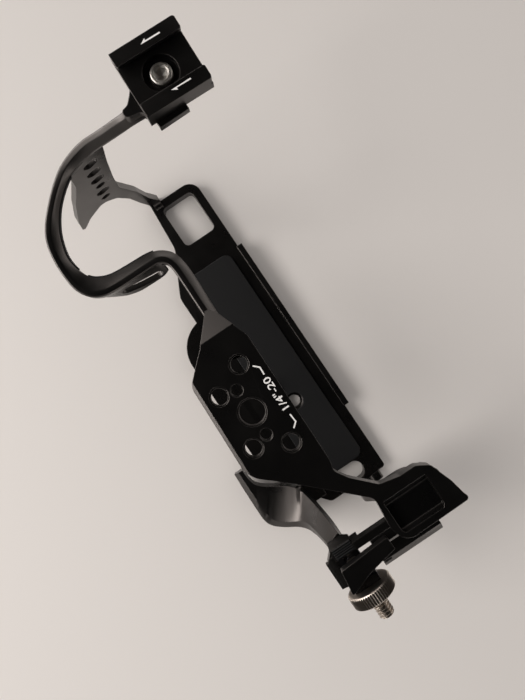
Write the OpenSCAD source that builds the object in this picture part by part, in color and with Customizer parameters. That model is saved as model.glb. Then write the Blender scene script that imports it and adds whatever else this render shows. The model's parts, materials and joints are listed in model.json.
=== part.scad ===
// Camera cage for a mirrorless camera: base, grip frame, top plate, side wall, front strut,
// cold shoe, accessory rail and a cable clamp with a knurled thumb screw.
// Millimetres, +Z up. The origin is on the lens axis line at the underside of the base;
// +X runs to the connector end, -Y to the lens side.

/* [Base plate] */
// base plate thickness
base_t = 6; // [4:0.5:9]
// connector end of the base
base_x1 = 61.5; // [58:0.5:66]
// grip end of the base
base_x0 = -100.2; // [-106:0.2:-96]
// back edge of the base
base_back_y = 17.5; // [15:0.5:22]
// front edge of the base body
base_front_y = -18.6; // [-24:0.2:-16]
// radius of the two front bosses
boss_r = 16; // [10:0.5:20]
// distance of the bosses from the lens line
boss_x = 27.5; // [20:0.5:34]
// height of the back lip over the underside
lip_h = 9.5; // [7:0.5:14]
// thickness of the back lip
lip_t = 2.6; // [1.6:0.2:4]
// battery window length
window_l = 21; // [16:0.5:26]
// battery window width
window_w = 16.4; // [12:0.2:20]
// cable slot width
slot_w = 8.8; // [6:0.2:12]

/* [Silicone pads] */
// base pad length
pad_l = 113.2; // [80:0.4:118]
// base pad width
pad_w = 24.6; // [16:0.2:28]
// pad thickness
pad_t = 1.6; // [1:0.1:3]
// depth the pads are let in
pad_in = 0.8; // [0.4:0.1:1.2]

/* [Grip frame] */
// thickness of the slotted side panel
panel_t = 3.3; // [2.4:0.1:5]
// height of the swept arm at its boss
arm_h = 8; // [6:0.5:11]
// flat land on the outer side of the arm
arm_land = 1.7; // [1:0.1:3]
// drop of the inner bevel
arm_bevel = 2.2; // [1:0.1:4]
// thickness of the strap lug
lug_t = 2.4; // [1.8:0.1:3]
// spread of the strap lug's lower edge past the arm
lug_out = 3; // [2:0.1:4]
// drop of the strap lug under the top of the arm
lug_drop = 10.4; // [8:0.2:13]
// strap slot length
strap_l = 16; // [10:0.5:18]
// strap slot height
strap_h = 3.8; // [3:0.1:5]
// long panel slot height
vent_h = 3.7; // [2.4:0.1:4.2]

/* [Top plate] */
// top of the plate over the underside of the base
top_z = 84; // [78:0.5:92]
// plate thickness
top_t = 5; // [4:0.5:8]
// thickness at the corner over the side wall
corner_t = 8; // [6:0.5:10]
// floor of the hollowed corner under the top
scoop_d = 3; // [1.5:0.5:4]
// front edge chamfer
top_chamfer = 1.2; // [0.5:0.1:2]

/* [Accessory holes] */
// quarter inch hole diameter
quarter_d = 6.35; // [6.35:0.01:6.35]
// three eighths hole diameter
three_eighths_d = 9.525; // [9.525:0.001:9.525]
// locating hole diameter
locate_d = 4.2; // [4:0.1:4.6]
// distance between the locating holes
locate_pitch = 18; // [18:1:18]
// chamfer of the holes
hole_chamfer = 0.9; // [0.4:0.1:1.4]

/* [Side wall] */
// wall thickness
wall_t = 4; // [3:0.5:6]
// lowest edge of the broad part
wall_low_z = 22; // [16:1:30]
// height of the bar to the cable clamp
bar_h = 4.4; // [4:0.2:7]
// thickness of the bar
bar_t = 3.1; // [2.6:0.1:4]

/* [Accessory rail] */
// rail length
rail_l = 25.8; // [20:0.2:32]
// rail depth from the wall
rail_d = 12.4; // [8:0.1:14]
// rail height
rail_h = 7; // [5:0.5:8]

/* [Front strut] */
// reach of the strut's foot in front of the lens line
strut_reach = 43.4; // [40:0.2:47]
// width of the strut's foot along the base
foot_l = 29.4; // [24:0.2:34]

/* [Cold shoe] */
// shoe block length along the slot
shoe_l = 22.2; // [18:0.2:26]
// shoe block width
shoe_w = 21.5; // [20:0.1:24]
// shoe block height
shoe_h = 6.8; // [6:0.1:9]
// slot width
shoe_slot_w = 18.7; // [18.6:0.1:18.9]
// slot height
shoe_slot_h = 2.1; // [2:0.1:2.4]
// opening between the lips
shoe_open_w = 12.6; // [12.5:0.1:13]
// height of the lips
shoe_lip_h = 1.6; // [1.4:0.1:2]

/* [Cable clamp] */
// height of the thumb screw axis
screw_z = 62; // [58:0.5:66]
// shank diameter of the thumb screw
shank_d = 5; // [4:0.5:6]
// knurled knob diameter
knob_d = 18.2; // [12:0.2:20]
// knurled knob thickness
knob_t = 5.4; // [4:0.2:8]
// number of knurl grooves
knurls = 36; // [24:1:60]
// opening of the jaw
jaw_travel = 4; // [2:0.5:4]
// thread pitch of the thumb screw
screw_pitch = 1.27; // [1.27:0.01:1.27]

/* [Fits] */
// radial gap of turning parts
turn_gap = 0.05; // [0.03:0.01:0.09]
// radial gap around fixed screws
fix_gap = 0.03; // [0.02:0.01:0.08]
// side gap of let-in pads
pad_gap = 0.1; // [0.05:0.05:0.3]

/* [Hidden] */
$fn = 64;
e = 0.01;
black = [0.05, 0.05, 0.055];
soft = [0.09, 0.09, 0.10];
bright = [0.72, 0.71, 0.69];
screw_black = [0.12, 0.12, 0.13];

plate_z = top_z - top_t;
panel_x1 = base_x0;
panel_x0 = panel_x1 - panel_t;
wall_x0 = base_x1;
wall_x1 = wall_x0 + wall_t;
pad_x = -5.9;
pad_y = 0;
cam_y = -8;
cam_hole_d = quarter_d + 2 * turn_gap;
head_d = 13;
head_t = 2.4;
front_hole_y = -22;
window_x = -85.8;
window_y = 5.7;
slot_x = base_x1 - 5.9;
slot_y0 = -9;
slot_y1 = 8.7;
corner_x0 = wall_x1 - 17.5;
corner_z = top_z - corner_t;
skirt_t = 4;
skirt_z = corner_z - 7;
arm_boss_x = -23;
arm_boss_y = -8;
arm_boss_d = 10;
shoe_x = base_x0 - 0.2;
shoe_y = 21;
shoe_z = top_z + 22.7;
shoe_turn = -1.9;
shoe_lip_w = (shoe_w - shoe_open_w) / 2;
seat_t = 5;
ledge_t = 2.7;
clamp_floor_z = screw_z - 10;
clamp_floor_t = 4;
clamp_y0 = -26.2;
clamp_y1 = -12.5;
screw_y = -16.4;
cheek_x0 = wall_x1 + 10.5;
cheek_x1 = cheek_x0 + 3;
cheek_y0 = -21.6;
fixed_x1 = wall_x0 + 4.3;
bar_z0 = screw_z + 3 - bar_h;
jaw_plate_z = screw_z + 4;
jaw_plate_t = 4;
jaw_x0 = wall_x1 + 5.5;
jaw_x1 = jaw_x0 + 3.8;
thread_x0 = jaw_x0 - 2.5;
knob_x0 = cheek_x1 + 0.3;
knob_x1 = knob_x0 + knob_t;
stud_x0 = knob_x1 + 3;
stud_x1 = stud_x0 + 5.5;
rail_y0 = -6.7;
rail_z1 = screw_z + 3;
rail_z0 = rail_z1 - rail_h;
strut_x = base_x1 - 10.5;
clamp_lug_x = wall_x1 + 3.5;
clamp_lug_y = -18.4;
m3_d = 3;
m25_d = 2.5;
m2_d = 2;

// ---------- shared shapes ----------

// points of a corner with a round of radius r, as a run of short edges
function unit(v) = v / norm(v);
function corner_arc(a, b, c, r) =
    let (p = unit(a - b), q = unit(c - b), half = acos(min(1, max(-1, p * q))) / 2,
         reach = r / tan(half), mid = unit(p + q), centre = b + mid * r / sin(half),
         s = b + p * reach - centre, t = b + q * reach - centre,
         turn = s[0] * t[1] - s[1] * t[0] > 0 ? 1 : -1, sweep = 180 - 2 * half,
         steps = max(2, ceil(sweep / 12)))
    [for (i = [0:steps]) centre + [s[0] * cos(turn * sweep * i / steps) - s[1] * sin(turn * sweep * i / steps),
                                   s[0] * sin(turn * sweep * i / steps) + s[1] * cos(turn * sweep * i / steps)]];
function outline(p) =
    [for (i = [0:len(p) - 1])
        let (n = len(p), a = p[(i + n - 1) % n], b = p[i], c = p[(i + 1) % n])
        each (b[2] > 0 ? corner_arc([a[0], a[1]], [b[0], b[1]], [c[0], c[1]], b[2]) : [[b[0], b[1]]])];

// a plate standing across X from x0 with its outline given as (y, z)
module across_x(x0, t) translate([x0, 0, 0]) rotate([90, 0, 90]) linear_extrude(t) children();
// a plate standing across Y from y0 with its outline given as (x, z)
module across_y(y0, t) translate([0, y0 + t, 0]) rotate([90, 0, 0]) linear_extrude(t) children();

// a box with four rounded upright corners
module round_box(l, w, h, r) {
    translate([-l / 2 + r, -w / 2, 0]) cube([l - 2 * r, w, h]);
    translate([-l / 2, -w / 2 + r, 0]) cube([l, w - 2 * r, h]);
    for (x = [-1, 1], y = [-1, 1])
        translate([x * (l / 2 - r), y * (w / 2 - r), 0]) cylinder(h = h, r = r);
}

// a slot with round ends, length along X
module slot_2d(l, w) {
    square([l - w, w], center = true);
    for (x = [-1, 1]) translate([x * (l - w) / 2, 0]) circle(d = w);
}

// an upright through hole from z0 to z1, chamfered at both mouths
module chamfered_hole(d, z0, z1) {
    translate([0, 0, z0 - e]) cylinder(h = z1 - z0 + 2 * e, d = d);
    translate([0, 0, z1 - hole_chamfer]) cylinder(h = hole_chamfer + e, d1 = d, d2 = d + 2 * hole_chamfer);
    translate([0, 0, z0 - e]) cylinder(h = hole_chamfer, d1 = d + 2 * hole_chamfer, d2 = d);
}

// a countersunk screw: head face at the origin, shank running down to -Z
module flat_screw(d, l) {
    difference() {
        union() {
            translate([0, 0, -d * 0.55]) cylinder(h = d * 0.55, d1 = d, d2 = d * 1.9);
            translate([0, 0, -l]) cylinder(h = l - d * 0.5, d = d);
        }
        translate([0, 0, -d * 0.4]) cylinder(h = d, d = d * 0.75, $fn = 6);
    }
}
// the room a countersunk screw needs
module flat_screw_hole(d, l) {
    translate([0, 0, -d * 0.55])
        cylinder(h = d * 0.55 + e, d1 = d + 2 * fix_gap, d2 = d * 1.9 + 2 * fix_gap + 0.05);
    translate([0, 0, -l - 0.3]) cylinder(h = l, d = d + 2 * fix_gap);
}

// a solid through a run of rings, every ring having the same number of points
module loft(rings) {
    m = len(rings[0]);
    n = len(rings);
    polyhedron(
        points = [for (r = rings) each r],
        faces = concat(
            [[for (j = [0:m - 1]) j]],
            [for (i = [0:n - 2], j = [0:m - 1])
                [i * m + j, (i + 1) * m + j, (i + 1) * m + (j + 1) % m]],
            [for (i = [0:n - 2], j = [0:m - 1])
                [i * m + j, (i + 1) * m + (j + 1) % m, i * m + (j + 1) % m]],
            [[for (j = [0:m - 1]) (n - 1) * m + (m - 1 - j)]]));
}

// values between the given rows by a smooth curve through them
function curve_at(p, i, t) =
    let (n = len(p), a = p[max(i - 1, 0)], b = p[i], c = p[min(i + 1, n - 1)], d = p[min(i + 2, n - 1)])
    0.5 * (2 * b + (c - a) * t + (2 * a - 5 * b + 4 * c - d) * t * t + (3 * b - a - 3 * c + d) * t * t * t);
function curve(p, steps) =
    concat([for (i = [0:len(p) - 2], k = [0:steps - 1]) curve_at(p, i, k / steps)], [p[len(p) - 1]]);

// ---------- base ----------

module base_outline() polygon(outline([
    [base_x0, 17.8, 6], [base_x0, -6, 1], [-77.5, -7.6, 10], [-67, -13.4, 12], [-57, base_front_y, 8],
    [-41.2, base_front_y, 0], [-40, base_front_y, 0], [54.2, base_front_y, 4], [base_x1, -12.6, 3],
    [base_x1, base_back_y, 1.5]]));

module base_plate() color(black) difference() {
    union() {
        linear_extrude(base_t) base_outline();
        for (s = [-1, 1]) translate([s * boss_x, -15.5, 0]) cylinder(h = base_t, r = boss_r);
        translate([-boss_x, -15.5 - boss_r, 0]) cube([2 * boss_x, boss_r, base_t]);
        translate([-62, base_back_y - 0.5, 0]) cube([89, lip_t, lip_h]);
    }
    translate([window_x, window_y, -e]) round_box(window_l, window_w, base_t + 2 * e, 2.5);
    translate([slot_x, (slot_y0 + slot_y1) / 2, -e]) round_box(slot_w, slot_y1 - slot_y0, base_t + 2 * e, 4);
    translate([pad_x, pad_y, base_t - pad_in]) round_box(pad_l + 2 * pad_gap, pad_w + 2 * pad_gap, 2, 4);
    translate([0, cam_y, -e]) cylinder(h = base_t + 1, d = cam_hole_d);
    translate([0, cam_y, -e]) cylinder(h = head_t + 0.3, d = head_d + 0.8);
    translate([12.7, -1, 0]) chamfered_hole(quarter_d, 0, base_t - pad_in);
    for (s = [-1, 1]) translate([s * boss_x, front_hole_y, 0]) chamfered_hole(quarter_d, 0, base_t);
    translate([-22, -9.5, 0]) chamfered_hole(quarter_d, 0, base_t - pad_in);
    place_grip_screw() flat_screw_hole(m2_d, 9);
    place_wall_screw() flat_screw_hole(m3_d, 8.5);
    place_strut_screws() flat_screw_hole(m3_d, 8);
}

module base_pad() color(soft) difference() {
    translate([pad_x, pad_y, base_t - pad_in]) round_box(pad_l, pad_w, pad_t, 4);
    translate([0, cam_y, 0]) cylinder(h = 20, d = 10.4);
    for (p = [[12.7, -1], [-22, -9.5]]) translate([p[0], p[1], 0]) cylinder(h = 20, d = quarter_d + 2);
}

// ---------- camera screw ----------

module camera_screw() color(bright) translate([0, cam_y, 0]) difference() {
    union() {
        translate([0, 0, 0.2]) cylinder(h = head_t, d = head_d);
        cylinder(h = base_t + 0.1, d = quarter_d);
        cylinder(h = 8, d = 5);
        translate([0, 0, base_t + 0.9]) cylinder(h = 4.2, d = quarter_d);
        translate([0, 0, base_t + 5.1]) cylinder(h = 0.6, d1 = quarter_d, d2 = 5.2);
    }
    translate([0, 0, -e]) cylinder(h = 0.2 + e, d = head_d + 1);
    translate([-8, -0.8, -e]) cube([16, 1.6, 1.4]);
}

module camera_screw_ring() color(bright) translate([0, cam_y, base_t + 0.15]) difference() {
    cylinder(h = 0.7, d = 9.4);
    translate([0, 0, -e]) cylinder(h = 1, d = 5.02);
}

// ---------- grip panel ----------

module place_grip_screw()
    translate([panel_x0, -3.3, base_t / 2]) rotate([0, -90, 0]) children();

// the tongue on the panel's head, and the rebate for it in the arm
module panel_tongue(gap) polygon([
    [-18.6 - gap, top_z - 4], [-18.6 - gap, top_z + 3.9 + gap], [-9.6 + gap, top_z + 7.9 + gap],
    [-9.6 + gap, top_z - 4]]);

module grip_panel() color(black) {
    difference() {
        across_x(panel_x0, panel_t) {
            polygon(outline([
                [-21.6, top_z, 1], [-18.6, top_z + 1.4, 0], [-9.6, top_z + 5.8, 0], [-5.9, top_z + 7.6, 1],
                [-8.1, 78.8, 12], [-10.1, 63.5, 16], [-11, 50.4, 8], [-6.3, 33.3, 16], [-3.9, 18.2, 14],
                [-0.6, base_t, 2], [-0.6, 0, 0], [-6, 0, 0], [-6, 9.3, 3],
                [-8.6, 21, 20], [-10.8, 33, 15], [-14.6, 42.5, 5], [-20.3, 46.6, 3.5], [-28.5, 39.5, 8],
                [-35.2, 29.8, 0.9], [-33, 43, 12], [-28.4, 59, 20], [-22.6, 74.3, 14]]));
            panel_tongue(0);
        }
        across_x(panel_x0 - 1, panel_t + 2) {
            for (p = [[-13.2, 84], [-14.2, 76.8], [-15, 69.9], [-16.6, 57.3]])
                translate(p) rotate(22) slot_2d(vent_h + 2.2, vent_h);
            for (p = [[-15.7, 63.7], [-17.3, 51]])
                translate(p) rotate(22) slot_2d(vent_h + 0.4, vent_h - 1);
        }
        place_grip_screw() flat_screw_hole(m2_d, 9);
    }
    // cove between the panel foot and the base
    difference() {
        translate([panel_x1, -4.6, base_t]) cube([3, 3.8, 3]);
        translate([panel_x1 + 3, -9, base_t + 3]) rotate([-90, 0, 0]) cylinder(h = 15, r = 3);
    }
}

module grip_screw() color(screw_black) place_grip_screw() flat_screw(m2_d, 8.6);

// ---------- grip arm ----------

// rows: outer x, outer y, inner x, inner y, top over the top plate's underside, height
arm_rows = [
    [-23, -10.3, -23, -5.6, 0, 6], [-36, -10.3, -36, -5.8, 0, 6], [-50, -10.2, -49.8, -5.3, 0, 5.4],
    [-56.2, -10.3, -56.8, -5.5, 0, 4.8], [-59.2, -11.2, -61.6, -7, 0, 4.6],
    [-60.6, -13, -64.8, -10.6, 0, 4.6], [-60.9, -16, -66.1, -15.2, 0, 4.6],
    [-60.9, -24, -66.5, -23.3, 0.2, 4.6], [-61, -30, -67, -29, 0.4, 4.8],
    [-61.6, -34.6, -68, -32.2, 0.6, 5], [-63.9, -39, -69.5, -34.7, 0.8, 5.4],
    [-68.4, -42, -71.7, -36.5, 1, 5.6], [-74, -42.8, -75, -37.8, 1.5, 5.6],
    [-80.6, -42.5, -79.9, -38.2, 2.4, 5.4], [-86.8, -41, -85.2, -36.7, 3.6, 5.2],
    [-91.5, -38, -89.5, -34.3, 5, 5], [-96.2, -33, -94.1, -30.3, 6.6, 4.8],
    [-100.4, -27.4, -97.8, -25.3, 8.2, 4.6], [-103.4, -22, -99.8, -20.8, 9.8, 4.4],
    [-104.6, -16.4, -100.2, -15.8, 12, 4.2], [-104.5, -10.9, -100.2, -10.6, 14.6, 4],
    [-103.4, -6.4, -99.3, -6.2, 17, 3.9], [-102.3, -2.4, -98.2, -2.2, 19.4, 3.8],
    [-101.2, 2, -97, 2, 22, 3.6], [-100.2, 6, -95.8, 6, 24.8, 3.6], [-101, 10, -94.8, 10.2, 26.6, 3.6]];

function arm_ring(r) =
    let (o = [r[0], r[1]], i = [r[2], r[3]], across = unit(i - o), z = plate_z + r[4], h = r[5])
    [[o[0], o[1], z - h + 0.8],
     [o[0], o[1], z - 0.6],
     [o[0] + across[0] * 0.5, o[1] + across[1] * 0.5, z],
     [o[0] + across[0] * (0.5 + arm_land), o[1] + across[1] * (0.5 + arm_land), z],
     [i[0], i[1], z - arm_bevel],
     [i[0], i[1], z - h + 0.5],
     [i[0] - across[0] * 0.5, i[1] - across[1] * 0.5, z - h],
     [o[0] + across[0] * 0.8, o[1] + across[1] * 0.8, z - h]];

// the seat that the arm flares into, and the ledge on it that the shoe block rests on
module shoe_seat() translate([shoe_x, shoe_y, shoe_z]) {
    translate([0, 0, -seat_t]) linear_extrude(seat_t) polygon(outline([
        [1.4, -16.2, 1.2], [1.2, -13.8, 3], [-1, -11.6, 3], [-4.6, -8.6, 3], [-4.6, 3, 4],
        [1.4, 5.4, 4], [7.6, 4.4, 3], [8.4, -9, 2], [4.9, -11.2, 2], [4, -16, 1.5]]));
    translate([5, -9.1, -ledge_t]) cube([7.2, 10.5, ledge_t]);
}

// rows along the strap lug: foot of the lug on the arm (x, y), its lower edge (x, y), drop
lug_rows = [
    [-60.2, -12.6, -58.4, -11.8, 0.8], [-60.9, -15, -60.9 + lug_out, -14.4, 1],
    [-60.9, -21, -60.9 + lug_out, -21, 1], [-61, -25.4, -60.9 + lug_out * 0.9, -25.2, 1],
    [-61.1, -30, -60.9 + lug_out * 0.5, -29.6, 0.96], [-61.8, -34.4, -61.4, -33.8, 0.84],
    [-63.4, -38, -63.4, -37.4, 0.7]];

function lug_ring(r) =
    let (z = plate_z - lug_drop * r[4], n = lug_t * 0.94)
    [[r[0] - 0.3, r[1], plate_z - 1.6], [r[0] - 0.3 - n, r[1], plate_z - 2.6], [r[2] - n, r[3], z + 0.2],
     [r[2] - 0.5, r[3], z], [r[2], r[3], z + 0.4]];

module grip_arm() color(black) difference() {
    union() {
        loft([for (r = curve(arm_rows, 4)) arm_ring(r)]);
        shoe_seat();
        // boss under the top plate
        translate([arm_boss_x, arm_boss_y, plate_z - arm_h]) cylinder(h = arm_h, d = arm_boss_d);
        // lug for the strap under the front leg
        loft([for (r = curve(lug_rows, 3)) lug_ring(r)]);
    }
    translate([-59.6, -22, plate_z - 6.6]) rotate([0, 70, 0]) rotate([0, 0, 80])
        linear_extrude(9, center = true) slot_2d(strap_l, strap_h);
    across_x(panel_x0, panel_t + 1) panel_tongue(0);
    place_arm_screw() flat_screw_hole(m3_d, 11);
    translate([shoe_x, shoe_y, shoe_z - seat_t - 1]) cylinder(h = 7, d = 4 + 2 * fix_gap);
}

// strip let in along the arm's inner side, from the thirteenth row to the nineteenth
module arm_strip() color(soft) let (run = curve(arm_rows, 4)) loft([for (k = [48:72])
    let (r = run[k], across = unit([r[2] - r[0], r[3] - r[1]]), z = plate_z + r[4])
    [[r[2], r[3], z - r[5] + 0.8], [r[2], r[3], z - arm_bevel - 0.1],
     [r[2] + 0.45 * across[0], r[3] + 0.45 * across[1], z - arm_bevel - 0.3],
     [r[2] + 0.45 * across[0], r[3] + 0.45 * across[1], z - r[5] + 1]]]);

module place_arm_screw()
    translate([arm_boss_x, arm_boss_y, plate_z - arm_h]) rotate([180, 0, 0]) children();

module arm_screw() color(screw_black) place_arm_screw() flat_screw(m3_d, 10.5);

// ---------- top plate ----------

module top_outline() polygon(outline([
    [-28.6, -16.3, 1], [-28.6, -3.6, 1], [-22.9, -1.4, 4], [28, -1.9, 3], [32.2, -2.9, 3],
    [37, 0.2, 4], [wall_x1 - 21.1, 7.4, 2], [wall_x1 - 19.5, 14.8, 3], [wall_x1 - 19.5, 21, 3],
    [wall_x1 - 16.9, 25.4, 2], [wall_x1 - 8.5, 28.4, 6], [wall_x1 - 2.6, 29.6, 0.6], [wall_x1, 30.6, 1.2],
    [wall_x1 + 0.4, 4.8, 5], [wall_x1 - 5.5, 2.2, 8], [wall_x1 - 18, 3.4, 4], [29.5, -15, 10],
    [19.6, -26, 4], [15.4, -28.5, 5], [-18.3, -27.4, 5], [-25, -20.4, 10]]));

module top_plate() color(black) difference() {
    union() {
        translate([0, 0, plate_z]) linear_extrude(top_t) top_outline();
        // ramp down to the grip arm
        intersection() {
            translate([0, 0, plate_z]) linear_extrude(top_t)
                polygon([[-38.5, -8.6], [-35.4, -5.9], [-28, -3.2], [-28, -17.2]]);
            across_y(-20, 20) polygon([[-38, plate_z], [-28, plate_z], [-28, top_z], [-28.6, top_z]]);
        }
        // thicker corner and its skirt inside the wall
        translate([0, 0, corner_z]) linear_extrude(top_t) polygon(outline([
            [corner_x0, 4, 2], [corner_x0, 24, 2], [corner_x0 + 4, 27, 2], [wall_x1, 27.8, 1],
            [wall_x1, 5.2, 2], [wall_x1 - 7.5, 4, 3]]));
        translate([wall_x0 - skirt_t, 8, skirt_z]) cube([skirt_t, 17, corner_t]);
    }
    // hollowed corner
    intersection() {
        across_y(5, 17.2) polygon(outline([
            [corner_x0 + 1.4, top_z + 1, 0], [corner_x0 + 2.2, top_z, 0], [corner_x0 + 4.4, top_z - scoop_d, 3],
            [wall_x1 - 3.1, top_z - scoop_d, 0.8], [wall_x1 - 2.3, top_z, 0], [wall_x1 - 2.3, top_z + 1, 0]]));
        translate([wall_x1 - 9.3, 13.6, top_z - 6]) round_box(15, 17.2, 8, 2.6);
    }
    // front chamfer
    translate([-23, -28.5, top_z]) rotate([45, 0, 0])
        cube([44, 2 * top_chamfer, 1.42 * top_chamfer], center = true);
    for (p = [[-10.5, -21.2], [10.5, -21.2], [-16, -9.4], [16, -9.4]])
        translate([p[0], p[1], 0]) chamfered_hole(quarter_d, plate_z, top_z);
    translate([0, -14.7, 0]) chamfered_hole(three_eighths_d, plate_z, top_z);
    for (s = [-1, 1]) translate([s * locate_pitch / 2, -15, 0]) {
        translate([0, 0, plate_z - e]) cylinder(h = top_t + 1, d = locate_d);
        translate([0, 0, top_z - 0.4]) cylinder(h = 0.5, d1 = locate_d, d2 = locate_d + 1);
    }
    translate([0, -5.6, plate_z - e]) round_box(22 + 2 * pad_gap, 5 + 2 * pad_gap, pad_in, 1.5);
    place_arm_screw() flat_screw_hole(m3_d, 11);
    place_corner_screws() flat_screw_hole(m25_d, 7);
}

module top_pad() color(soft) translate([0, -5.6, plate_z - pad_t + pad_in - 0.02]) round_box(22, 5, pad_t, 1.5);

module place_corner_screws() for (y = [11.5, 21.5])
    translate([wall_x1, y, skirt_z + 3.5]) rotate([0, 90, 0]) children();

module corner_screws() color(screw_black) place_corner_screws() flat_screw(m25_d, 6.6);

// ---------- side wall ----------

module place_wall_screw() for (y = [11.2])
    translate([wall_x1, y, base_t / 2]) rotate([0, 90, 0]) children();

module side_wall() color(black) difference() {
    union() {
        across_x(wall_x0, wall_t) polygon(outline([
            [0, 0, 1], [14, 0, 1], [14, 6, 1.5], [8, 7.5, 3], [8, wall_low_z, 5], [21, wall_low_z, 6],
            [28, 34, 10], [28, corner_z, 0], [5.2, corner_z, 0], [4.4, 30, 14], [0, wall_low_z, 10]]));
        // bar to the clamp, with the tongue that the clamp's screw holds
        translate([wall_x1 - bar_t, clamp_y1, bar_z0]) cube([bar_t, 20, bar_h]);
        translate([wall_x1 - bar_t, clamp_y1, screw_z - 5.6]) cube([bar_t, 3, 5]);
    }
    place_wall_screw() flat_screw_hole(m3_d, 8.5);
    place_corner_screws() flat_screw_hole(m25_d, 7);
    place_rail_screws() flat_screw_hole(m3_d, 9);
    place_clamp_screw() flat_screw_hole(m2_d, 13);
    translate([wall_x0 - 1, 16.5, 47]) rotate([0, 90, 0]) cylinder(h = wall_t + 2, d = quarter_d);
}

module wall_screw() color(screw_black) place_wall_screw() flat_screw(m3_d, 8.2);

// ---------- accessory rail ----------

module place_rail_screws() for (y = [6, 14])
    translate([wall_x0, y, rail_z0 + rail_h / 2]) rotate([0, -90, 0]) children();

module side_rail() color(black) difference() {
    // the rail section tapers to its neck like a dovetail
    across_y(rail_y0, rail_l) polygon([
        [wall_x1, rail_z0 + 1.2], [wall_x1 + 5, rail_z0 + 1.2], [wall_x1 + 7, rail_z0],
        [wall_x1 + rail_d - 1.2, rail_z0], [wall_x1 + rail_d, rail_z0 + 1.2],
        [wall_x1 + rail_d, rail_z1 - 3.6], [wall_x1 + rail_d - 3, rail_z1 - 0.6],
        [wall_x1 + 4.6, rail_z1 - 0.6], [wall_x1 + 3.6, rail_z1], [wall_x1, rail_z1]]);
    // notch at the front end
    translate([wall_x1 + rail_d - 3, rail_y0 - 1, rail_z0 - 1]) cube([1.2, 4.5, rail_h + 2]);
    place_rail_screws() flat_screw_hole(m3_d, 10);
}

module rail_screws() color(screw_black) place_rail_screws() flat_screw(m3_d, 9.6);

// ---------- front strut ----------

// rows: low front, front, top front, top back, low back, along x from the strut's middle line
strut_rows = [
    [[3.4 - foot_l, 0.4, 6], [3.4 - foot_l, 0.4, 10], [3.4 - foot_l, 2.8, 12.5], [3.4 - foot_l, 4.8, 12.5],
     [3.4 - foot_l, 4.8, 6]],
    [[-19, 0.2, 6], [-19, 0.2, 10.3], [-19.5, 2.8, 12.8], [-21.5, 5, 12.8], [-21.5, 5, 6]],
    [[-13, 0.1, 6], [-13, 0.1, 10.5], [-13.4, 2.9, 13], [-17.6, 6, 13], [-17.6, 6, 6]],
    [[-6.6, 0, 6], [-6.6, 0, 10.5], [-7.2, 3, 13], [-14.6, 8.8, 13.3], [-14.6, 8.8, 6]],
    [[-0.6, 0.2, 6], [-0.6, 0.2, 10.6], [-1.6, 3.4, 13], [-12.2, 12.4, 13.8], [-12.2, 12.4, 6]],
    [[3.4, 2.2, 6], [3.4, 2.2, 11], [1.8, 5.2, 14], [-10.6, 15.6, 14.8], [-10.6, 15.6, 6]],
    [[6.4, 6.8, 7], [6.4, 6.8, 13.4], [4.2, 9.4, 16.6], [-8.6, 19, 16.4], [-7.6, 19.8, 8]],
    [[8.4, 12.4, 12], [8.2, 12.4, 18.6], [5.8, 14.6, 21], [-5.4, 22, 19], [-3.4, 23.4, 12]],
    [[10, 16, 20], [9.2, 15.9, 25.4], [6.8, 17.6, 27], [-1.4, 24, 25.4], [1.4, 25.4, 20]],
    [[11, 18.4, 28], [9.9, 18.2, 33.6], [8.2, 19.2, 35], [2.2, 25.6, 35], [5, 26.8, 29]],
    [[12.6, 20.4, 39], [11, 20.2, 44], [9.8, 20.9, 45.2], [6, 27, 45.2], [9, 28, 39]],
    [[16.6, 22, 52], [12.2, 21.4, 52], [11.2, 22.2, 52], [9.4, 27.8, 52], [14.8, 28.8, 52]]];

module place_strut_screws() {
    translate([strut_x, -15.6, 0]) rotate([180, 0, 0]) children();
    translate([clamp_lug_x, clamp_lug_y, clamp_floor_z + clamp_floor_t]) children();
}

module front_strut() color(black) difference() {
    union() {
        translate([strut_x, -strut_reach, 0])
            loft([for (r = curve(strut_rows, 4)) [r[4], r[3], r[2], r[1], r[0]]]);
        // lug on the base
        translate([strut_x - 5, -26, base_t]) cube([10, 13.4, 5]);
        // lug under the clamp's floor
        translate([wall_x1 - 3.5, -21.4, clamp_floor_z - 4.5]) cube([10, 6, 4.5]);
    }
    place_strut_screws() flat_screw_hole(m3_d, 9.8);
}

module strut_screws() color(screw_black) place_strut_screws() flat_screw(m3_d, 8.4);

// ---------- cold shoe ----------

module shoe_block() color(black) translate([shoe_x, shoe_y, shoe_z]) rotate([0, 0, shoe_turn]) difference() {
    union() {
        translate([-shoe_w / 2, -10.6, 0]) cube([shoe_w, shoe_l, shoe_h - shoe_lip_h - shoe_slot_h]);
        // side rails of the tee slot, their far ends rounded
        translate([0, 0, shoe_h - shoe_lip_h - shoe_slot_h - e]) linear_extrude(shoe_lip_h + shoe_slot_h + e)
            for (m = [-1, 1]) polygon(outline([
                [m * shoe_w / 2, -10.6, 0], [m * shoe_w / 2, shoe_l - 10.6, shoe_lip_w / 2],
                [m * shoe_open_w / 2, shoe_l - 10.6, shoe_lip_w * 0.4], [m * shoe_open_w / 2, -10.6, 0.6]]));
    }
    translate([-shoe_slot_w / 2, -20, shoe_h - shoe_lip_h - shoe_slot_h]) cube([shoe_slot_w, 40, shoe_slot_h]);
    translate([-shoe_open_w / 2, -20, shoe_h - shoe_lip_h - e]) cube([shoe_open_w, 40, shoe_lip_h + 1]);
    // recess and hole of the screw
    translate([0, 0, 0.9]) cylinder(h = 5, d = 11.2);
    translate([0, 0, -e]) cylinder(h = 5, d = 4 + 2 * fix_gap);
}

module shoe_screw() color(bright) translate([shoe_x, shoe_y, shoe_z + 0.9]) difference() {
    union() {
        cylinder(h = 2.1, d = 7);
        translate([0, 0, -5.6]) cylinder(h = 6, d = 4);
    }
    translate([0, 0, 0.6]) cylinder(h = 3, d = 3.4, $fn = 6);
}

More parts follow.
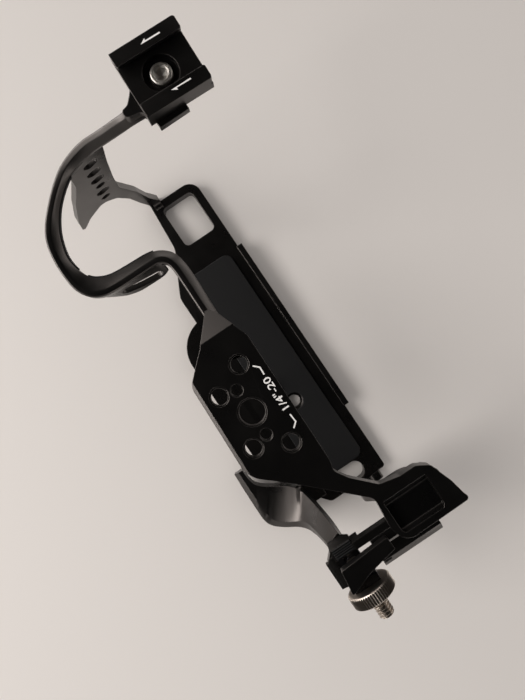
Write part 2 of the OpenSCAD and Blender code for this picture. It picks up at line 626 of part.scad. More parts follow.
// ---------- cable clamp ----------

module place_clamp_screw()
    translate([wall_x1 - bar_t / 2, cheek_y0, screw_z - 3.4]) rotate([90, 0, 0]) children();

module clamp_body() color(black) difference() {
    union() {
        translate([0, 0, clamp_floor_z]) linear_extrude(clamp_floor_t) polygon(outline([
            [wall_x0, clamp_y1, 0], [wall_x0, cheek_y0, 0.8], [wall_x0 + 2.4, cheek_y0 - 0.6, 1],
            [wall_x0 + 5.6, clamp_y0 + 1, 1], [cheek_x1, clamp_y0 + 1, 0], [cheek_x1, clamp_y1, 0]]));
        // fixed cheek under the ribbed pad, and the cheek that holds the thumb screw
        translate([wall_x0, cheek_y0, clamp_floor_z])
            cube([fixed_x1 - wall_x0, clamp_y1 - cheek_y0, screw_z - clamp_floor_z]);
        translate([cheek_x0, -21.9, clamp_floor_z]) cube([cheek_x1 - cheek_x0, 11, 13.6]);
        // sloped nose at the front
        across_x(wall_x0 + 6, cheek_x1 - wall_x0 - 6) polygon([[clamp_y0 + 4, clamp_floor_z + clamp_floor_t],
            [clamp_y0, clamp_floor_z + 2.4], [clamp_y0, clamp_floor_z], [clamp_y0 + 4, clamp_floor_z]]);
        translate([cheek_x0, clamp_y1 - 1, clamp_floor_z]) cube([cheek_x1 - cheek_x0, 2.6, clamp_floor_t]);
    }
    // slope under the fixed cheek's end
    across_x(wall_x0 - 1, fixed_x1 - wall_x0 + 1) polygon([
        [clamp_y1 - 2.6, clamp_floor_z - e], [clamp_y1 + 1, clamp_floor_z - e],
        [clamp_y1 + 1, clamp_floor_z + 4.4], [clamp_y1 + e, clamp_floor_z + 4.4]]);
    // slope over the front edge of the floor
    across_x(wall_x0 + 4.4, cheek_x1) polygon([[clamp_y0 + 0.5, clamp_floor_z + 2.62],
        [clamp_y0 + 4, clamp_floor_z + clamp_floor_t + e], [clamp_y0 - 1, clamp_floor_z + clamp_floor_t + e]]);
    translate([cheek_x0 - 1, screw_y, screw_z]) rotate([0, 90, 0]) cylinder(h = 5, d = shank_d + 2 * turn_gap);
    place_clamp_screw() flat_screw_hole(m2_d, 14);
    translate([clamp_lug_x, clamp_lug_y, clamp_floor_z + clamp_floor_t]) flat_screw_hole(m3_d, 9.8);
}

module clamp_pad() color(soft) {
    translate([wall_x0, -20.9, screw_z]) cube([fixed_x1 - wall_x0, 8, 0.6]);
    for (i = [0:4]) translate([wall_x0 + i * 0.86, -20.9, screw_z + 0.5]) cube([0.44, 8, 0.5]);
}

module clamp_screw() color(screw_black) place_clamp_screw() flat_screw(m2_d, 11.6);

module clamp_jaw() color(black) difference() {
    union() {
        translate([0, 0, jaw_plate_z]) linear_extrude(jaw_plate_t) polygon(outline([
            [jaw_x0 - 3.8, -21.3, 0.6], [jaw_x0 + 6, -22.6, 0.6], [jaw_x0 + 2.4, -12.1, 2],
            [jaw_x0 + 0.2, -0.4, 0.6], [jaw_x0 - 5, -0.6, 0.6]]));
        translate([jaw_x0, -21.6, screw_z - 5]) cube([jaw_x1 - jaw_x0, 10.4, 9.6]);
    }
    translate([jaw_x0 - 1, screw_y, screw_z]) rotate([0, 90, 0]) cylinder(h = 6, d = shank_d + 2 * turn_gap);
}

module jaw_pad() color(soft) difference() {
    translate([jaw_x0 - 0.8, -21.2, screw_z - 4.6]) cube([0.8, 9.6, 8.4]);
    translate([jaw_x0 - 1, screw_y, screw_z]) rotate([0, 90, 0]) cylinder(h = 6, d = shank_d + 1);
}

module thumb_screw() color(bright) translate([0, screw_y, screw_z]) rotate([0, 90, 0]) difference() {
    union() {
        translate([0, 0, thread_x0]) cylinder(h = cheek_x0 - 0.9 - thread_x0, d = shank_d);
        translate([0, 0, cheek_x0 - 1]) cylinder(h = 1, d = 4);
        translate([0, 0, cheek_x0 - 0.1]) cylinder(h = knob_x0 - cheek_x0 + 0.1, d = shank_d);
        translate([0, 0, knob_x0]) cylinder(h = 0.6, d1 = knob_d - 1.2, d2 = knob_d);
        translate([0, 0, knob_x0 + 0.6]) cylinder(h = knob_t - 1.2, d = knob_d);
        translate([0, 0, knob_x1 - 0.6]) cylinder(h = 0.6, d1 = knob_d, d2 = knob_d - 1.2);
        translate([0, 0, knob_x1]) cylinder(h = 3.2, d = 5.2);
        translate([0, 0, stud_x0]) cylinder(h = stud_x1 - stud_x0 - 0.6, d = quarter_d);
        translate([0, 0, stud_x1 - 0.6]) cylinder(h = 0.6, d1 = quarter_d, d2 = quarter_d - 1.2);
    }
    for (i = [0:knurls - 1]) rotate(i * 360 / knurls)
        translate([knob_d / 2, 0, knob_x0 - 1]) rotate(45) cube([0.7, 0.7, 2 * knob_t + 4], center = true);
}

module thumb_screw_ring() color(screw_black)
    translate([cheek_x0 - 0.8, screw_y, screw_z]) rotate([0, 90, 0]) difference() {
        cylinder(h = 0.6, d = 8);
        translate([0, 0, -e]) cylinder(h = 1, d = 4.02);
    }

base_plate();
base_pad();
camera_screw();
camera_screw_ring();
grip_screw();
grip_panel();
grip_arm();
arm_strip();
arm_screw();
top_plate();
top_pad();
corner_screws();
side_wall();
wall_screw();
side_rail();
rail_screws();
front_strut();
strut_screws();
shoe_block();
shoe_screw();
clamp_body();
clamp_pad();
clamp_screw();
clamp_jaw();
jaw_pad();
thumb_screw();
thumb_screw_ring();
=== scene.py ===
import bpy
import bmesh
import json
import math
import numpy as np
from mathutils import Matrix

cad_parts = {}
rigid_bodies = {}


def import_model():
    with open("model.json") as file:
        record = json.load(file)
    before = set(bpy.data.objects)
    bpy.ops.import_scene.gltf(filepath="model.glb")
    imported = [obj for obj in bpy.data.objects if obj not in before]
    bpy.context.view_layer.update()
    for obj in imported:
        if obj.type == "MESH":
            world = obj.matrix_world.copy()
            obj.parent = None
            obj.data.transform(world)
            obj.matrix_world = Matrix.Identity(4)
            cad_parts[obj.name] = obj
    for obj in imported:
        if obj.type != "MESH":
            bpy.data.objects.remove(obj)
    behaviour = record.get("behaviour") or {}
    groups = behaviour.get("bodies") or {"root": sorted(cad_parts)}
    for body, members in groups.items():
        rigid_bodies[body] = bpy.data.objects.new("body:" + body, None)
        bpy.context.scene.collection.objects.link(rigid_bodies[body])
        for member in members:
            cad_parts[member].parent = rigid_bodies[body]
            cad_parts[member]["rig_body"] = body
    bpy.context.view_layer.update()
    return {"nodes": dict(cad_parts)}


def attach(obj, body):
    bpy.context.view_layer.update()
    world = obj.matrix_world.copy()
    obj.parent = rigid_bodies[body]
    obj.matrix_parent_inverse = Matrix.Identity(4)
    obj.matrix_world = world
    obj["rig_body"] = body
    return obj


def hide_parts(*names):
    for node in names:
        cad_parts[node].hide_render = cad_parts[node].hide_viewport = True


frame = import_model()
parts = frame["nodes"]

# ---- Base plate --------------------------------------------------------------------------
# A slab of 6061 aluminium milled with its window, cable slot and back lip, then blasted with
# glass beads and black anodised, as all the frame's parts are. Every cut edge is a soft narrow
# round that catches light while the faces stay deep black.


def linear(hex_colour):
    """sRGB hex to linear RGBA: each channel is ((c + 0.055) / 1.055) ** 2.4 above the toe."""
    c = np.array([int(hex_colour[i:i + 2], 16) for i in (0, 2, 4)]) / 255
    return (*np.where(c <= 0.04045, c / 12.92, ((c + 0.055) / 1.055) ** 2.4), 1.0)


def add(tree, kind, settings=None, links=None):
    """Adds a shader node of that kind, sets its values and links the given outputs into it."""
    made = tree.nodes.new(kind)
    for key, value in (settings or {}).items():
        if isinstance(key, int) or key in made.inputs:
            made.inputs[key].default_value = value
        else:
            setattr(made, key, value)
    for key, source in (links or {}).items():
        tree.links.new(source, made.inputs[key])
    return made


def new_finish(name):
    """An empty material and its node tree."""
    material = bpy.data.materials.new(name)
    material.use_nodes = True
    material.node_tree.nodes.clear()
    return material, material.node_tree


# Black anodised aluminium, bead blasted: the dye hides the metal, and what the eye gets is the
# satin gloss of the clear oxide over it (IOR 1.6), black from straight above and grey where a
# face turns to the light. The 0.15 mm grit of the blasting is drawn at 0.3 mm so that it shows,
# and a slow cloud of roughness, 12 mm wide, is what handling leaves on it.
grit_size, cloud_size, edge_radius = 0.0003, 0.012, 0.0004
black_anodised, tree = new_finish("black_anodised_aluminium")
place = add(tree, "ShaderNodeTexCoord")
grit = add(tree, "ShaderNodeTexNoise", {"Scale": 1 / grit_size, "Detail": 2.0},
           {"Vector": place.outputs["Object"]})
cloud = add(tree, "ShaderNodeTexNoise", {"Scale": 1 / cloud_size, "Detail": 3.0},
            {"Vector": place.outputs["Object"]})
handled = add(tree, "ShaderNodeMapRange", {"From Min": 0.35, "From Max": 0.7, "To Min": 0.27,
              "To Max": 0.35}, {"Value": cloud.outputs["Fac"]})
edge = add(tree, "ShaderNodeBevel", {"samples": 6, "Radius": edge_radius})
blast = add(tree, "ShaderNodeBump", {"Strength": 0.25, "Distance": 0.00003},
            {"Height": grit.outputs["Fac"], "Normal": edge.outputs["Normal"]})
shader = add(tree, "ShaderNodeBsdfPrincipled", {"Base Color": linear("080808"), "IOR": 1.6,
             "Specular Tint": linear("F6ECE6")},
             {"Roughness": handled.outputs["Result"], "Normal": blast.outputs["Normal"]})
add(tree, "ShaderNodeOutputMaterial", links={"Surface": shader.outputs["BSDF"]})


def placed(name, data):
    """A new object of that mesh, curve, lamp or camera, in the scene and at the origin."""
    made = bpy.data.objects.new(name, data)
    bpy.context.scene.collection.objects.link(made)
    return made


def paint(piece, material):
    """The piece wears one material all over."""
    piece.data.materials.clear()
    piece.data.materials.append(material)


def made_whole(source, result, slivers=False):
    """The source mesh with its loose triangles joined and its flat faces whole, put in result,
    with or without its slivers, which are faces of no area."""
    same_point, flat = 2e-6, math.radians(0.4)
    work = bmesh.new()
    work.from_mesh(source)
    bmesh.ops.remove_doubles(work, verts=work.verts, dist=same_point)
    if not slivers:
        bmesh.ops.dissolve_degenerate(work, edges=work.edges, dist=same_point)
    bmesh.ops.dissolve_limit(work, angle_limit=flat, verts=work.verts, edges=work.edges)
    work.to_mesh(result)
    work.free()


usual_smooth = 26


def machined(name, material, edge_mm=0.25, smooth_deg=usual_smooth):
    """A cut part: its solid's mesh made whole, every sharp edge turned to a small round of
    edge_mm, and faces that meet below smooth_deg shaded as one."""
    source = parts[name]
    mesh = bpy.data.meshes.new(name + "_cut")
    made_whole(source.data, mesh)
    piece = placed(name + "_cut", mesh)
    mesh.shade_smooth()
    if edge_mm:
        round_off = piece.modifiers.new("edge_round", "BEVEL")
        round_off.width = edge_mm / 1000
        round_off.segments = 2
        round_off.limit_method = "ANGLE"
        round_off.angle_limit = math.radians(smooth_deg + 4)
        round_off.harden_normals = True
        round_off.use_clamp_overlap = True
    mesh.set_sharp_from_angle(angle=math.radians(smooth_deg))
    paint(piece, material)
    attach(piece, source["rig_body"])
    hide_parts(name)
    return piece


def points_of(mesh):
    """The mesh's points as rows of x, y and z in millimetres."""
    at = np.empty(len(mesh.vertices) * 3)
    mesh.vertices.foreach_get("co", at)
    return at.reshape(-1, 3) * 1000


def put_points(mesh, at):
    """Moves the mesh's points to the rows of at, which are in millimetres."""
    mesh.vertices.foreach_set("co", (at / 1000).ravel())
    mesh.update()


def break_mouths(piece, centres, bore, faces):
    """The mouths of straight holes as the tap leaves them: where the solid's mouth is cut by
    solid_mouth, its rim moves in to the bore plus mouth, and its neck moves out to mouth from
    the face. Each face is its height and the way in, 1 for up or -1 for down."""
    solid_mouth, near, level = 0.9, 0.06, 0.1
    at = points_of(piece.data)
    for centre in centres:
        out = at[:, :2] - centre
        reach = np.maximum(np.linalg.norm(out, axis=1), 1e-6)
        for face, inward in faces:
            neck_height = face + inward * solid_mouth
            rim = (np.abs(reach - bore - solid_mouth) < near) & (np.abs(at[:, 2] - face) < near)
            neck = (np.abs(reach - bore) < near) & (np.abs(at[:, 2] - neck_height) < level)
            at[rim, :2] = centre + out[rim] / reach[rim, None] * (bore + mouth)
            at[neck, 2] = face + inward * mouth
    put_points(piece.data, at)


# the quarter inch holes go through the slab, two of them where the pad lies in it, and a cut of
# 0.3 mm breaks their mouths
mouth, quarter_bore, quarter_pitch = 0.3, 3.175, 1.27
front_holes, pad_holes = [(-27.5, -22), (27.5, -22)], [(12.7, -1), (-22, -9.5)]
base_top, pad_floor = 6, 5.2
base = machined("base_plate", black_anodised, 0.3)
break_mouths(base, front_holes, quarter_bore, [(0, 1), (base_top, -1)])
break_mouths(base, pad_holes, quarter_bore, [(0, 1)])


def skin(name, grid, material, body, ends=True):
    """A closed skin over a grid of points in millimetres: every row is a ring whose last point
    meets its first, and row i joins row i + 1. With ends the first and last ring close on their
    own middle, and without them the last ring joins the first, as on a ring or a washer."""
    rows, cols = grid.shape[:2]
    i, j = np.meshgrid(np.arange(rows - 1 if ends else rows), np.arange(cols), indexing="ij")
    up, round_on = (i + 1) % rows, (j + 1) % cols
    quads = np.stack([i * cols + j, i * cols + round_on, up * cols + round_on, up * cols + j], -1)
    points = grid.reshape(-1, 3)
    faces = quads.reshape(-1, 4).tolist()
    if ends:
        k = np.arange(cols)
        on = (k + 1) % cols
        last = (rows - 1) * cols
        faces += np.stack([on, k, np.full(cols, rows * cols)], -1).tolist()
        faces += np.stack([last + k, last + on, np.full(cols, rows * cols + 1)], -1).tolist()
        points = np.vstack([points, grid[0].mean(axis=0), grid[-1].mean(axis=0)])
    mesh = bpy.data.meshes.new(name)
    mesh.from_pydata((points / 1000).tolist(), [], faces)
    piece = placed(name, mesh)
    mesh.shade_smooth()
    mesh.set_sharp_from_angle(angle=math.radians(32))
    paint(piece, material)
    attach(piece, body)
    return piece


def turned(centre, axis, along, radius, steps):
    """A turned form: ring k lies along[k] down the axis from centre, and its points stand off the
    axis by radius[k], which is one number or one for each of the steps round the ring."""
    axis = np.array(axis, float)
    side = np.cross(axis, [0.3, 1.0, 0.1])    # any direction square to the axis
    side /= np.linalg.norm(side)
    angle = np.arange(steps) * 2 * np.pi / steps
    spoke = np.cos(angle)[:, None] * side + np.sin(angle)[:, None] * np.cross(axis, side)
    radius = np.asarray(radius, float)
    radius = radius if radius.ndim == 2 else np.repeat(radius[:, None], steps, axis=1)
    return np.array(centre) + np.asarray(along)[:, None, None] * axis + radius[..., None] * spoke


def thread(along, steps, pitch, start=-np.inf, stop=np.inf):
    """How far a thread's root is cut, from 0 on the crest to 1 in the root: a triangle wave of
    along / pitch less the share of the turn, its crests and roots flattened, faded out over half
    a pitch at start and stop."""
    turn = np.arange(steps) / steps
    wave = np.abs(2 * np.mod(np.asarray(along)[:, None] / pitch - turn, 1) - 1)
    fade = np.clip(np.minimum(along - start, stop - along) / (pitch / 2), 0, 1)
    return np.clip(1.5 * wave - 0.2, 0, 1) * fade[:, None]


def tapped(name, centre, axis, bore, pitch, low, high):
    """The thread in a tapped hole, as a ring: its inner skin stands in from the bore by a sixth
    of the pitch times one less the thread wave, and its back lies just outside the bore."""
    steps, rings_a_turn, gap, wall, overlap = 64, 14, 0.01, 0.03, 0.02
    along = np.linspace(high, low, int((high - low) / pitch * rings_a_turn))
    ridge = 1 - thread(along, steps, pitch)
    run_in = np.clip(np.minimum(along - low, high - along) / mouth, 0, 1)[:, None]
    inner = bore - gap - pitch / 6 * ridge * run_in
    back = np.full((2, steps), bore + wall)
    rows = np.concatenate([along, [low - overlap, high + overlap]])
    skin(name, turned(centre, axis, rows, np.vstack([inner, back]), steps), black_anodised,
         "cage", ends=False)


upright = (0, 0, 1)
holes = [(*spot, pad_floor) for spot in pad_holes] + [(*spot, base_top) for spot in front_holes]
for k, (x, y, top) in enumerate(holes):
    tapped(f"base_quarter_thread_{k + 1}", (x, y, 0), upright, quarter_bore, quarter_pitch,
           mouth, top - mouth)

# ---- Base pad ----------------------------------------------------------------------------
# A moulded silicone sheet let into the base so that the camera's underside isn't scratched.
# Its face is matt and a little lighter than the metal, with a faint pebble from the mould,
# which is drawn at its real size of 0.5 mm.
pebble_size = 0.0005
silicone, tree = new_finish("moulded_silicone")
place = add(tree, "ShaderNodeTexCoord")
pebble = add(tree, "ShaderNodeTexVoronoi", {"Scale": 1 / pebble_size, "Randomness": 1.0},
             {"Vector": place.outputs["Object"]})
edge = add(tree, "ShaderNodeBevel", {"samples": 6, "Radius": edge_radius})
mould = add(tree, "ShaderNodeBump", {"Strength": 0.12, "Distance": 0.00004},
            {"Height": pebble.outputs["Distance"], "Normal": edge.outputs["Normal"]})
shader = add(tree, "ShaderNodeBsdfPrincipled", {"Base Color": linear("101011"), "Roughness": 0.62,
             "IOR": 1.41}, {"Normal": mould.outputs["Normal"]})
add(tree, "ShaderNodeOutputMaterial", links={"Surface": shader.outputs["BSDF"]})
machined("base_pad", silicone, 0.3)

# ---- Camera screw ------------------------------------------------------------------------
# A captive quarter inch screw turned from stainless steel, with a coin slot in its head and a
# ring that keeps it in the base. Its tip is rolled with 20 threads to the inch.


def bare_metal(name, colour, mottle_size, detail, smooth, rough):
    """A metal with nothing over it: its roughness goes from smooth to rough as noise of that size,
    in metres, goes from 0.3 to 0.7."""
    material, tree = new_finish(name)
    place = add(tree, "ShaderNodeTexCoord")
    mottle = add(tree, "ShaderNodeTexNoise", {"Scale": 1 / mottle_size, "Detail": detail},
                 {"Vector": place.outputs["Object"]})
    gloss = add(tree, "ShaderNodeMapRange", {"From Min": 0.3, "From Max": 0.7, "To Min": smooth,
                "To Max": rough}, {"Value": mottle.outputs["Fac"]})
    shader = add(tree, "ShaderNodeBsdfPrincipled", {"Base Color": linear(colour), "Metallic": 1.0},
                 {"Roughness": gloss.outputs["Result"]})
    add(tree, "ShaderNodeOutputMaterial", links={"Surface": shader.outputs["BSDF"]})
    return material


# Turned stainless steel: a pale satin metal. The turning marks, 0.1 mm apart, are too fine to
# show and are drawn as patches of gloss 1.1 mm wide.
steel = bare_metal("turned_stainless_steel", "D6D2CB", 0.0011, 2.0, 0.4, 0.48)


def trimmed(piece, point, normal):
    """The piece with what lies beyond a plane milled off, and the cut closed."""
    work = bmesh.new()
    work.from_mesh(piece.data)
    bmesh.ops.bisect_plane(work, geom=work.verts[:] + work.edges[:] + work.faces[:],
                           plane_co=np.array(point) / 1000, plane_no=normal, clear_outer=True)
    bmesh.ops.holes_fill(work, edges=[e for e in work.edges if e.is_boundary])
    work.to_mesh(piece.data)
    work.free()
    piece.data.set_sharp_from_angle(angle=math.radians(usual_smooth))


def threaded(centre, axis, section, rings, steps, cut, start, stop):
    """A turned rod with the quarter inch thread: a ring's radius is the smaller of the section's,
    read between its points (along, radius), and of the crest's less cut times the thread wave."""
    along, core = np.array(section, float).T
    z = np.linspace(along[0], along[-1], rings)
    wave = thread(z, steps, quarter_pitch, start, stop)
    radius = np.minimum(np.interp(z, along, core)[:, None], core.max() - cut * wave)
    return turned(centre, axis, z, radius, steps)


# the screw is cut off under its tip, and the threaded tip, given as height and radius, stands
# over the cut
cut_height = 6.6
head = machined("camera_screw", steel, 0.15)
trimmed(head, (0, 0, cut_height), upright)
tip = threaded((0, -8, 0), upright,
               [(6.5, 2.5), (6.88, 2.5), (6.9, 3.17), (11.1, 3.17), (11.7, 2.6)],
               rings=84, steps=56, cut=0.62, start=7.1, stop=12.2)
skin("camera_screw_tip", tip, steel, "camera_screw_body")
machined("camera_screw_ring", steel, 0.1)

# ---- Grip frame --------------------------------------------------------------------------
# The slotted side panel, and the arm that sweeps from the top plate round the camera's grip
# and rises to the cold shoe. Both are machined from solid aluminium and anodised with the rest,
# and silicone strips are glued to the arm's inner side.
machined("grip_panel", black_anodised, 0.2)
machined("grip_arm", black_anodised, 0.0, 32)


def smooth_rows(rows, steps):
    """Rows on smooth curves through the given ones (Catmull-Rom): between b and c, with a before
    and d after, 0.5 (2b + (c - a) t + (2a - 5b + 4c - d) t^2 + (3b - 3c + d - a) t^3)."""
    rows = np.array(rows, float)
    padded = np.vstack([2 * rows[0] - rows[1], rows, 2 * rows[-1] - rows[-2]])
    a, b, c, d = padded[:-3], padded[1:-2], padded[2:-1], padded[3:]
    t = (np.arange(steps) / steps)[None, :, None]
    a, b, c, d = (v[:, None, :] for v in (a, b, c, d))
    run = 0.5 * (2 * b + (c - a) * t + (2 * a - 5 * b + 4 * c - d) * t ** 2
                 + (3 * b - 3 * c + d - a) * t ** 3)
    return np.vstack([run.reshape(-1, rows.shape[1]), rows[-1:]])


# The arm's milled bar along its sweep: outer x, outer y, inner x, inner y, top over the top
# plate's underside, height. Eleven more rows lie between each two.
plate_under = 79
arm_rows = smooth_rows([
    (-23, -10.3, -23, -5.6, 0, 6), (-36, -10.3, -36, -5.8, 0, 6), (-50, -10.2, -49.8, -5.3, 0, 5.4),
    (-56.2, -10.3, -56.8, -5.5, 0, 4.8), (-59.2, -11.2, -61.6, -7, 0, 4.6),
    (-60.6, -13, -64.8, -10.6, 0, 4.6), (-60.9, -16, -66.1, -15.2, 0, 4.6),
    (-60.9, -24, -66.5, -23.3, 0.2, 4.6), (-61, -30, -67, -29, 0.4, 4.8),
    (-61.6, -34.6, -68, -32.2, 0.6, 5), (-63.9, -39, -69.5, -34.7, 0.8, 5.4),
    (-68.4, -42, -71.7, -36.5, 1, 5.6), (-74, -42.8, -75, -37.8, 1.5, 5.6),
    (-80.6, -42.5, -79.9, -38.2, 2.4, 5.4), (-86.8, -41, -85.2, -36.7, 3.6, 5.2),
    (-91.5, -38, -89.5, -34.3, 5, 5), (-96.2, -33, -94.1, -30.3, 6.6, 4.8),
    (-100.4, -27.4, -97.8, -25.3, 8.2, 4.6), (-103.4, -22, -99.8, -20.8, 9.8, 4.4),
    (-104.6, -16.4, -100.2, -15.8, 12, 4.2), (-104.5, -10.9, -100.2, -10.6, 14.6, 4),
    (-103.4, -6.4, -99.3, -6.2, 17, 3.9), (-102.3, -2.4, -98.2, -2.2, 19.4, 3.8),
    (-101.2, 2, -97, 2, 22, 3.6), (-100.2, 6, -95.8, 6, 24.8, 3.6),
    (-101, 10, -94.8, 10.2, 26.6, 3.6)], 12)
outer, inner = arm_rows[:, 0:2], arm_rows[:, 2:4]
top, tall = plate_under + arm_rows[:, 4], arm_rows[:, 5]
foot = top - tall
across = (inner - outer) / np.linalg.norm(inner - outer, axis=1)[:, None]


def station(base, reach, height):
    """The section's corner that lies reach inwards from base, at that height, on every row."""
    return np.c_[base + reach * across, height]


# the section's corners: the outer side, its broken upper edge, the flat land, the inner bevel
# and side, and the broken lower edges; it stands proud of the solid all round
proud, broken = 0.05, 0.16
corners = np.stack([
    station(outer, -proud, foot + 0.8), station(outer, -proud, top - 0.55),
    station(outer, 0.5, top + proud), station(outer, 2.2, top + proud),
    station(inner, proud, top - 2.15), station(inner, proud, foot + 0.5),
    station(inner, -0.5, foot - proud), station(outer, 0.8, foot - proud)], axis=1)
# each corner is broken to a round of about 0.16 mm by three points: one on either side, and
# between them the corner's own quarter point
back, on = np.roll(corners, 1, axis=1) - corners, np.roll(corners, -1, axis=1) - corners
back = back * (broken / np.linalg.norm(back, axis=2, keepdims=True))
on = on * (broken / np.linalg.norm(on, axis=2, keepdims=True))
section = np.stack([corners + back, corners + 0.25 * (back + on), corners + on], axis=2)
skin("grip_arm_bar", section.reshape(len(corners), -1, 3), black_anodised, "cage")

# a second strip lies in the front leg's inner side, from between the sixth and seventh of the
# rows given above nearly to the twelfth, where the first one starts after a short gap
leg = slice(66, 130)
leg_strip = np.stack([
    station(inner, -0.3, foot + 0.8), station(inner, -0.3, top - 2.2),
    station(inner, 0.2, top - 2.15), station(inner, 0.5, top - 2.4),
    station(inner, 0.5, foot + 1.0), station(inner, 0.3, foot + 0.8)], axis=1)[leg]
skin("leg_strip", leg_strip, silicone, "cage")
machined("arm_strip", silicone, 0.0, 40)

# ---- Fastening screws --------------------------------------------------------------------
# Small steel screws that hold the frame's parts together, and the snap ring of the thumb screw.
# They are blacked: a dark oxide with a thin oil sheen, in patches 0.8 mm wide.
black_oxide = bare_metal("black_oxide_steel", "4A4A4C", 0.0008, 2.0, 0.28, 0.42)
for name in ("grip_screw", "arm_screw", "corner_screws", "wall_screw", "rail_screws",
             "strut_screws", "clamp_screw", "thumb_screw_ring"):
    machined(name, black_oxide, 0.1)

# ---- Top plate ---------------------------------------------------------------------------
# The aluminium plate over the camera's prism, milled with its tapped and locating holes, and
# with the hollowed corner that reaches back over the side wall. A silicone pad lies under it.
plate_top = 84
both_faces = [(plate_under, 1), (plate_top, -1)]
quarter_holes = [(-10.5, -21.2), (10.5, -21.2), (-16, -9.4), (16, -9.4)]
middle_hole, three_eighths_bore, three_eighths_pitch = (0, -14.7), 4.7625, 1.5875
plate = machined("top_plate", black_anodised, 0.25)
break_mouths(plate, quarter_holes, quarter_bore, both_faces)
break_mouths(plate, [middle_hole], three_eighths_bore, both_faces)


def worked(piece, jobs):
    """The piece with rods put in (UNION) and holes and their mouths cut (DIFFERENCE), in turn: each
    is a cone about (x, y) with one radius at its low end and one at its high end."""
    block = placed("block", piece.data)
    cutters = []
    for action, (x, y), low, high, low_radius, high_radius in jobs:
        mesh = bpy.data.meshes.new("cutter")
        work = bmesh.new()
        middle = np.array([x, y, (low + high) / 2]) / 1000
        bmesh.ops.create_cone(work, cap_ends=True, segments=96, radius1=low_radius / 1000,
                              radius2=high_radius / 1000, depth=(high - low) / 1000,
                              matrix=Matrix.Translation(middle))
        work.to_mesh(mesh)
        work.free()
        cutters.append(placed("cutter", mesh))
        cut = block.modifiers.new("cut", "BOOLEAN")
        cut.operation, cut.object, cut.solver = action, cutters[-1], "EXACT"
    bpy.context.view_layer.update()
    piece.data = bpy.data.meshes.new_from_object(
        block.evaluated_get(bpy.context.evaluated_depsgraph_get()))
    for spent in [block] + cutters:
        bpy.data.objects.remove(spent)
    made_whole(piece.data, piece.data, slivers=True)
    piece.data.shade_smooth()
    piece.data.set_sharp_from_angle(angle=math.radians(usual_smooth))


# a locating hole stands beside each of two quarter inch ones, and the metal between their mouths
# is whole: it is filled by a rod, and the holes and their mouths are cut again
locating_bore, locating_mouth = 2.1, 0.25
rod, rod_foot, cut_foot, cut_head = 3.15, 82.6, 82, 85
for side in (-1, 1):
    tap_hole, pin_hole = (side * 10.5, -21.2), (side * 9, -15)
    worked(plate, [("UNION", pin_hole, rod_foot, plate_top, rod, rod),
                   ("DIFFERENCE", pin_hole, cut_foot, cut_head, locating_bore, locating_bore),
                   ("DIFFERENCE", pin_hole, plate_top - locating_mouth, plate_top + locating_mouth,
                    locating_bore, locating_bore + 2 * locating_mouth),
                   ("DIFFERENCE", tap_hole, cut_foot, cut_head, quarter_bore, quarter_bore),
                   ("DIFFERENCE", tap_hole, plate_top - mouth, plate_top + mouth,
                    quarter_bore, quarter_bore + 2 * mouth)])

# one chamfer runs along the whole front edge
chamfer = 1.4
front_left, front_right = np.array([-18.3, -27.4]), np.array([15.4, -28.5])
along_edge = (front_left - front_right) / np.linalg.norm(front_left - front_right)
outward = np.array([-along_edge[1], along_edge[0]])
trimmed(plate, (*(front_right - chamfer * outward), plate_top), (*outward, 1))
machined("top_pad", silicone, 0.2)

run = plate_under + mouth, plate_top - mouth
for k, (x, y) in enumerate(quarter_holes):
    tapped(f"top_quarter_thread_{k + 1}", (x, y, 0), upright, quarter_bore, quarter_pitch, *run)
tapped("top_three_eighths_thread", (*middle_hole, 0), upright, three_eighths_bore,
       three_eighths_pitch, *run)

# ---- Printed marks -----------------------------------------------------------------------
# White screen printing: the thread size beside the accessory holes with its two leader lines,
# and the arrows on the cold shoe. The ink is matt, about 0.01 mm thick and a little thin over
# the blasted grain, which is drawn at 0.3 mm as on the metal.
white_print, tree = new_finish("white_screen_print")
place = add(tree, "ShaderNodeTexCoord")
cover = add(tree, "ShaderNodeTexNoise", {"Scale": 1 / grit_size, "Detail": 2.0},
            {"Vector": place.outputs["Object"]})
white = add(tree, "ShaderNodeMix",
            {"data_type": "RGBA", 6: linear("D2D0CD"), 7: linear("F4F3F1")},
            {"Factor": cover.outputs["Fac"]})
shader = add(tree, "ShaderNodeBsdfPrincipled", {"Roughness": 0.55},
             {"Base Color": white.outputs[2]})
add(tree, "ShaderNodeOutputMaterial", links={"Surface": shader.outputs["BSDF"]})
ink = 0.015


def printed(name, outline, z):
    """A printed mark: the flat outline (x, y) in millimetres, as thick as the ink from height z."""
    outline = np.array(outline, float)
    after = np.roll(outline, -1, axis=0)
    area = np.sum(outline[:, 0] * after[:, 1] - after[:, 0] * outline[:, 1])
    outline = outline if area > 0 else outline[::-1]
    n = len(outline)
    k = np.arange(n)
    points = np.vstack([np.c_[outline, np.full(n, z)], np.c_[outline, np.full(n, z + ink)]])
    sides = np.stack([k, (k + 1) % n, (k + 1) % n + n, k + n], -1).tolist()
    mesh = bpy.data.meshes.new(name)
    mesh.from_pydata((points / 1000).tolist(), [], sides + [k[::-1].tolist(), (k + n).tolist()])
    mark = placed(name, mesh)
    paint(mark, white_print)
    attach(mark, "cage")


def line_outline(path, width):
    """The outline of a line of that width: each point moved half a width to both sides along the
    mean of the directions square to the two stretches that meet there."""
    path = np.array(path, float)
    step = np.diff(path, axis=0)
    step /= np.linalg.norm(step, axis=1)[:, None]
    square = np.c_[-step[:, 1], step[:, 0]]
    mean = np.vstack([square[:1], (square[:-1] + square[1:]) / 2, square[-1:]])
    mean /= np.sum(mean ** 2, axis=1)[:, None]
    return np.vstack([path + mean * width / 2, (path - mean * width / 2)[::-1]])


